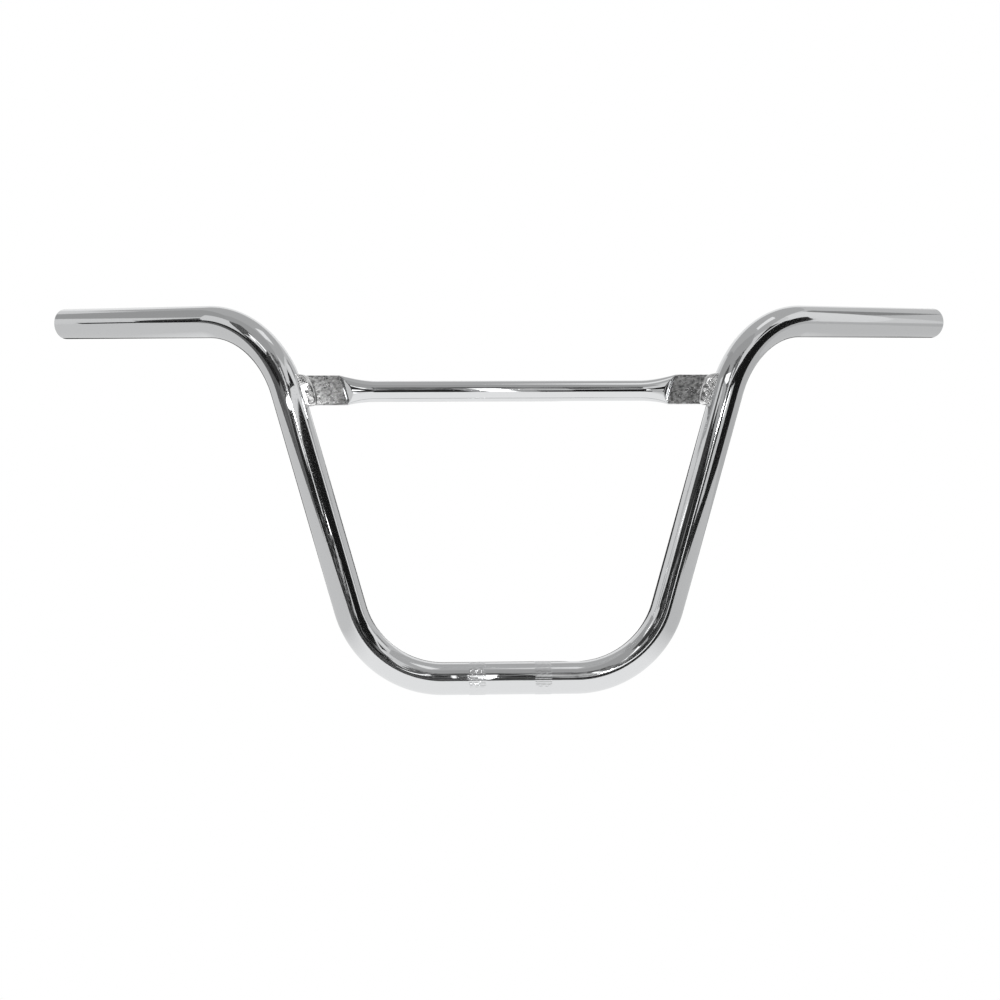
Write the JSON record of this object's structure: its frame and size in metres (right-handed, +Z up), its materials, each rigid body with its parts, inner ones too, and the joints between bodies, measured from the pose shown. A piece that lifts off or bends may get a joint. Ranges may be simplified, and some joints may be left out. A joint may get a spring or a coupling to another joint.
{
  "type": "motorcycle handlebar",
  "caption": "Chromed steel motorcycle handlebar: a bent tube with tall leaning risers, swept-back grip ends and a welded cross brace with pressed flats.",
  "frame": {"origin": "middle of the clamp section, on the tube's centreline", "axes": "+X to the right along the clamp section, seen from the front; +Y to the rear, the way the grips sweep; +Z up"},
  "size_m": [0.6666, 0.1129, 0.2771],
  "materials": {
    "polished_chrome": "polished chrome plate",
    "brace_chrome": "chrome plate, duller and scuffed on the pressed flats",
    "weld_chrome": "chrome plate over an uneven weld bead"
  },
  "bodies": {
    "root": {"handlebar_tube": "polished_chrome", "cross_brace": "brace_chrome", "weld_left": "weld_chrome", "weld_right": "weld_chrome"}
  },
  "joints": []
}
